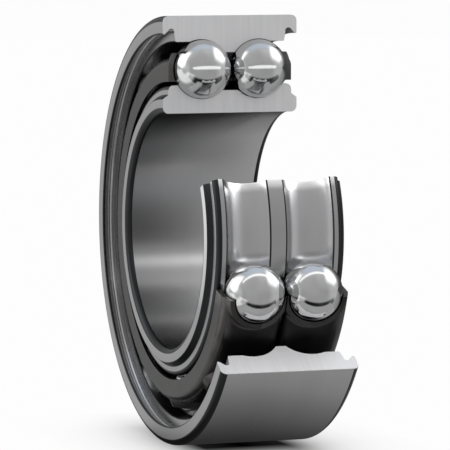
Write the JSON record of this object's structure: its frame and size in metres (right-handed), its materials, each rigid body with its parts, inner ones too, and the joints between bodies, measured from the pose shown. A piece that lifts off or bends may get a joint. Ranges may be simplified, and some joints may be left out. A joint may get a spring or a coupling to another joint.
{
  "type": "double row angular contact ball bearing",
  "caption": "Double row angular contact ball bearing, cut open over part of its turn to show the rows of balls in their stamped cages between the inner and outer rings.",
  "frame": {"origin": "centre of the bore, halfway between the side faces", "axes": "+Z along the bore axis towards the upper side face, +Y towards the common cut face of the rings and cages, +X towards the opened side"},
  "size_m": [0.1018, 0.11, 0.0364],
  "materials": {
    "ring_steel": "ground and honed hardened steel",
    "cage_steel": "stamped dark steel sheet",
    "ball_steel": "mirror polished hardened steel"
  },
  "bodies": {
    "outer_ring": {"outer_ring": "ring_steel"},
    "inner_ring": {"inner_ring": "ring_steel"},
    "cage_upper": {"cage_upper": "cage_steel"},
    "cage_lower": {"cage_lower": "cage_steel"},
    "ball_upper_1": {"ball_upper_1": "ball_steel"},
    "ball_upper_2": {"ball_upper_2": "ball_steel"},
    "ball_upper_3": {"ball_upper_3": "ball_steel"},
    "ball_upper_4": {"ball_upper_4": "ball_steel"},
    "ball_upper_5": {"ball_upper_5": "ball_steel"},
    "ball_upper_6": {"ball_upper_6": "ball_steel"},
    "ball_upper_7": {"ball_upper_7": "ball_steel"},
    "ball_upper_8": {"ball_upper_8": "ball_steel"},
    "ball_lower_1": {"ball_lower_1": "ball_steel"},
    "ball_lower_2": {"ball_lower_2": "ball_steel"},
    "ball_lower_3": {"ball_lower_3": "ball_steel"},
    "ball_lower_4": {"ball_lower_4": "ball_steel"},
    "ball_lower_5": {"ball_lower_5": "ball_steel"},
    "ball_lower_6": {"ball_lower_6": "ball_steel"},
    "ball_lower_7": {"ball_lower_7": "ball_steel"},
    "ball_lower_8": {"ball_lower_8": "ball_steel"}
  },
  "joints": [
    {"name": "inner_spin", "type": "hinge", "parent": "outer_ring", "child": "inner_ring", "pos_m": [0, 0, 0], "axis": [0, 0, 1], "continuous": true},
    {"name": "cage_upper_spin", "type": "hinge", "parent": "outer_ring", "child": "cage_upper", "pos_m": [0, 0, 0], "axis": [0, 0, 1], "continuous": true},
    {"name": "cage_lower_spin", "type": "hinge", "parent": "outer_ring", "child": "cage_lower", "pos_m": [0, 0, 0], "axis": [0, 0, 1], "continuous": true},
    {"name": "ball_upper_1_spin", "type": "hinge", "parent": "cage_upper", "child": "ball_upper_1", "pos_m": [0, 0.0413, 0.00768], "axis": [0, 0.5, 0.866], "continuous": true},
    {"name": "ball_upper_2_spin", "type": "hinge", "parent": "cage_upper", "child": "ball_upper_2", "pos_m": [-0.02428, 0.03341, 0.00768], "axis": [-0.2939, 0.4045, 0.866], "continuous": true},
    {"name": "ball_upper_3_spin", "type": "hinge", "parent": "cage_upper", "child": "ball_upper_3", "pos_m": [-0.03928, 0.01276, 0.00768], "axis": [-0.4755, 0.1545, 0.866], "continuous": true},
    {"name": "ball_upper_4_spin", "type": "hinge", "parent": "cage_upper", "child": "ball_upper_4", "pos_m": [-0.03928, -0.01276, 0.00768], "axis": [-0.4755, -0.1545, 0.866], "continuous": true},
    {"name": "ball_upper_5_spin", "type": "hinge", "parent": "cage_upper", "child": "ball_upper_5", "pos_m": [-0.02428, -0.03341, 0.00768], "axis": [-0.2939, -0.4045, 0.866], "continuous": true},
    {"name": "ball_upper_6_spin", "type": "hinge", "parent": "cage_upper", "child": "ball_upper_6", "pos_m": [0, -0.0413, 0.00768], "axis": [0, -0.5, 0.866], "continuous": true},
    {"name": "ball_upper_7_spin", "type": "hinge", "parent": "cage_upper", "child": "ball_upper_7", "pos_m": [0.02428, -0.03341, 0.00768], "axis": [0.2939, -0.4045, 0.866], "continuous": true},
    {"name": "ball_upper_8_spin", "type": "hinge", "parent": "cage_upper", "child": "ball_upper_8", "pos_m": [0.03928, -0.01276, 0.00768], "axis": [0.4755, -0.1545, 0.866], "continuous": true},
    {"name": "ball_lower_1_spin", "type": "hinge", "parent": "cage_lower", "child": "ball_lower_1", "pos_m": [0, 0.0413, -0.00768], "axis": [0, -0.5, 0.866], "continuous": true},
    {"name": "ball_lower_2_spin", "type": "hinge", "parent": "cage_lower", "child": "ball_lower_2", "pos_m": [-0.02428, 0.03341, -0.00768], "axis": [0.2939, -0.4045, 0.866], "continuous": true},
    {"name": "ball_lower_3_spin", "type": "hinge", "parent": "cage_lower", "child": "ball_lower_3", "pos_m": [-0.03928, 0.01276, -0.00768], "axis": [0.4755, -0.1545, 0.866], "continuous": true},
    {"name": "ball_lower_4_spin", "type": "hinge", "parent": "cage_lower", "child": "ball_lower_4", "pos_m": [-0.03928, -0.01276, -0.00768], "axis": [0.4755, 0.1545, 0.866], "continuous": true},
    {"name": "ball_lower_5_spin", "type": "hinge", "parent": "cage_lower", "child": "ball_lower_5", "pos_m": [-0.02428, -0.03341, -0.00768], "axis": [0.2939, 0.4045, 0.866], "continuous": true},
    {"name": "ball_lower_6_spin", "type": "hinge", "parent": "cage_lower", "child": "ball_lower_6", "pos_m": [0, -0.0413, -0.00768], "axis": [0, 0.5, 0.866], "continuous": true},
    {"name": "ball_lower_7_spin", "type": "hinge", "parent": "cage_lower", "child": "ball_lower_7", "pos_m": [0.02428, -0.03341, -0.00768], "axis": [-0.2939, 0.4045, 0.866], "continuous": true},
    {"name": "ball_lower_8_spin", "type": "hinge", "parent": "cage_lower", "child": "ball_lower_8", "pos_m": [0.03928, -0.01276, -0.00768], "axis": [-0.4755, 0.1545, 0.866], "continuous": true}
  ],
  "couplings": [
    {"joint": "cage_upper_spin", "follows": "inner_spin", "ratio": 0.42095},
    {"joint": "cage_lower_spin", "follows": "inner_spin", "ratio": 0.42095},
    {"joint": "ball_upper_1_spin", "follows": "inner_spin", "ratio": -2.6703},
    {"joint": "ball_upper_2_spin", "follows": "inner_spin", "ratio": -2.6703},
    {"joint": "ball_upper_3_spin", "follows": "inner_spin", "ratio": -2.6703},
    {"joint": "ball_upper_4_spin", "follows": "inner_spin", "ratio": -2.6703},
    {"joint": "ball_upper_5_spin", "follows": "inner_spin", "ratio": -2.6703},
    {"joint": "ball_upper_6_spin", "follows": "inner_spin", "ratio": -2.6703},
    {"joint": "ball_upper_7_spin", "follows": "inner_spin", "ratio": -2.6703},
    {"joint": "ball_upper_8_spin", "follows": "inner_spin", "ratio": -2.6703},
    {"joint": "ball_lower_1_spin", "follows": "inner_spin", "ratio": -2.6703},
    {"joint": "ball_lower_2_spin", "follows": "inner_spin", "ratio": -2.6703},
    {"joint": "ball_lower_3_spin", "follows": "inner_spin", "ratio": -2.6703},
    {"joint": "ball_lower_4_spin", "follows": "inner_spin", "ratio": -2.6703},
    {"joint": "ball_lower_5_spin", "follows": "inner_spin", "ratio": -2.6703},
    {"joint": "ball_lower_6_spin", "follows": "inner_spin", "ratio": -2.6703},
    {"joint": "ball_lower_7_spin", "follows": "inner_spin", "ratio": -2.6703},
    {"joint": "ball_lower_8_spin", "follows": "inner_spin", "ratio": -2.6703}
  ]
}
